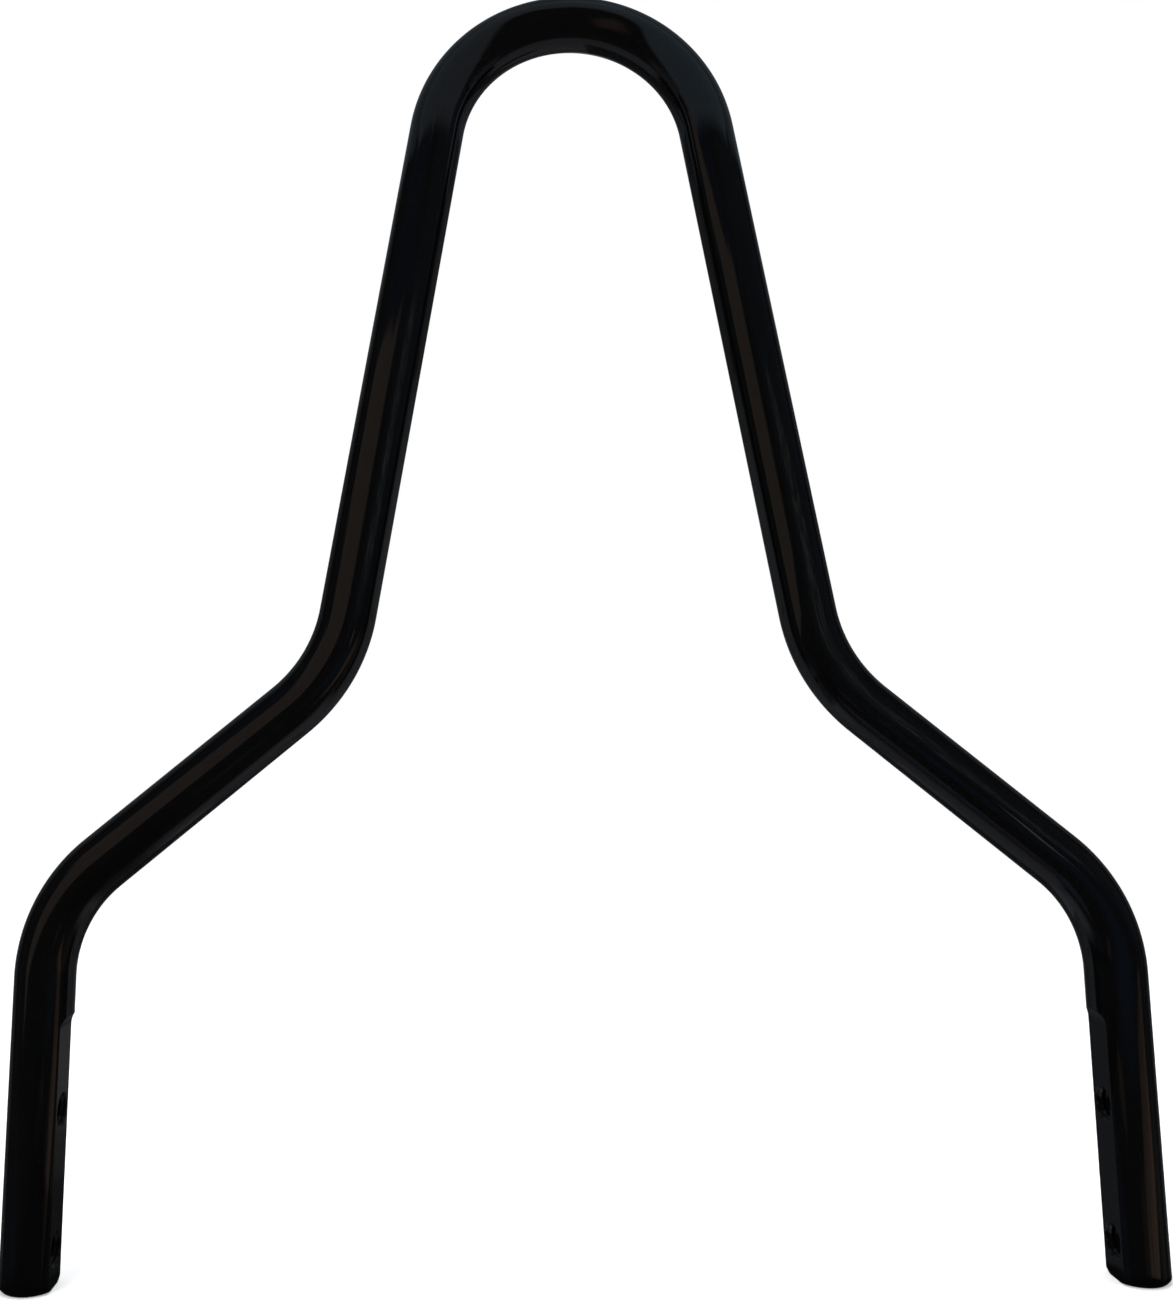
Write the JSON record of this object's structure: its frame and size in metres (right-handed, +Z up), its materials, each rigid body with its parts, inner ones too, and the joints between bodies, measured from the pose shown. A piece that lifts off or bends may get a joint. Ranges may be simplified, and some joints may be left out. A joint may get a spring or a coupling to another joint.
{
  "type": "sissy bar",
  "caption": "Round-bar motorbike sissy bar bent into a tall narrow hoop on wide legs, with milled flats and tapped holes at its feet.",
  "frame": {"origin": "midway between the two cut ends of the bar, at their height, on the bar's centre line front to back", "axes": "+X across the hoop from one leg to the other, +Y through the bar's thickness, +Z up from the feet to the arch"},
  "size_m": [0.3028, 0.0158, 0.359],
  "materials": {
    "black_coat": "gloss black powder coat over steel"
  },
  "bodies": {
    "root": {"sissy_bar": "black_coat"}
  },
  "joints": []
}
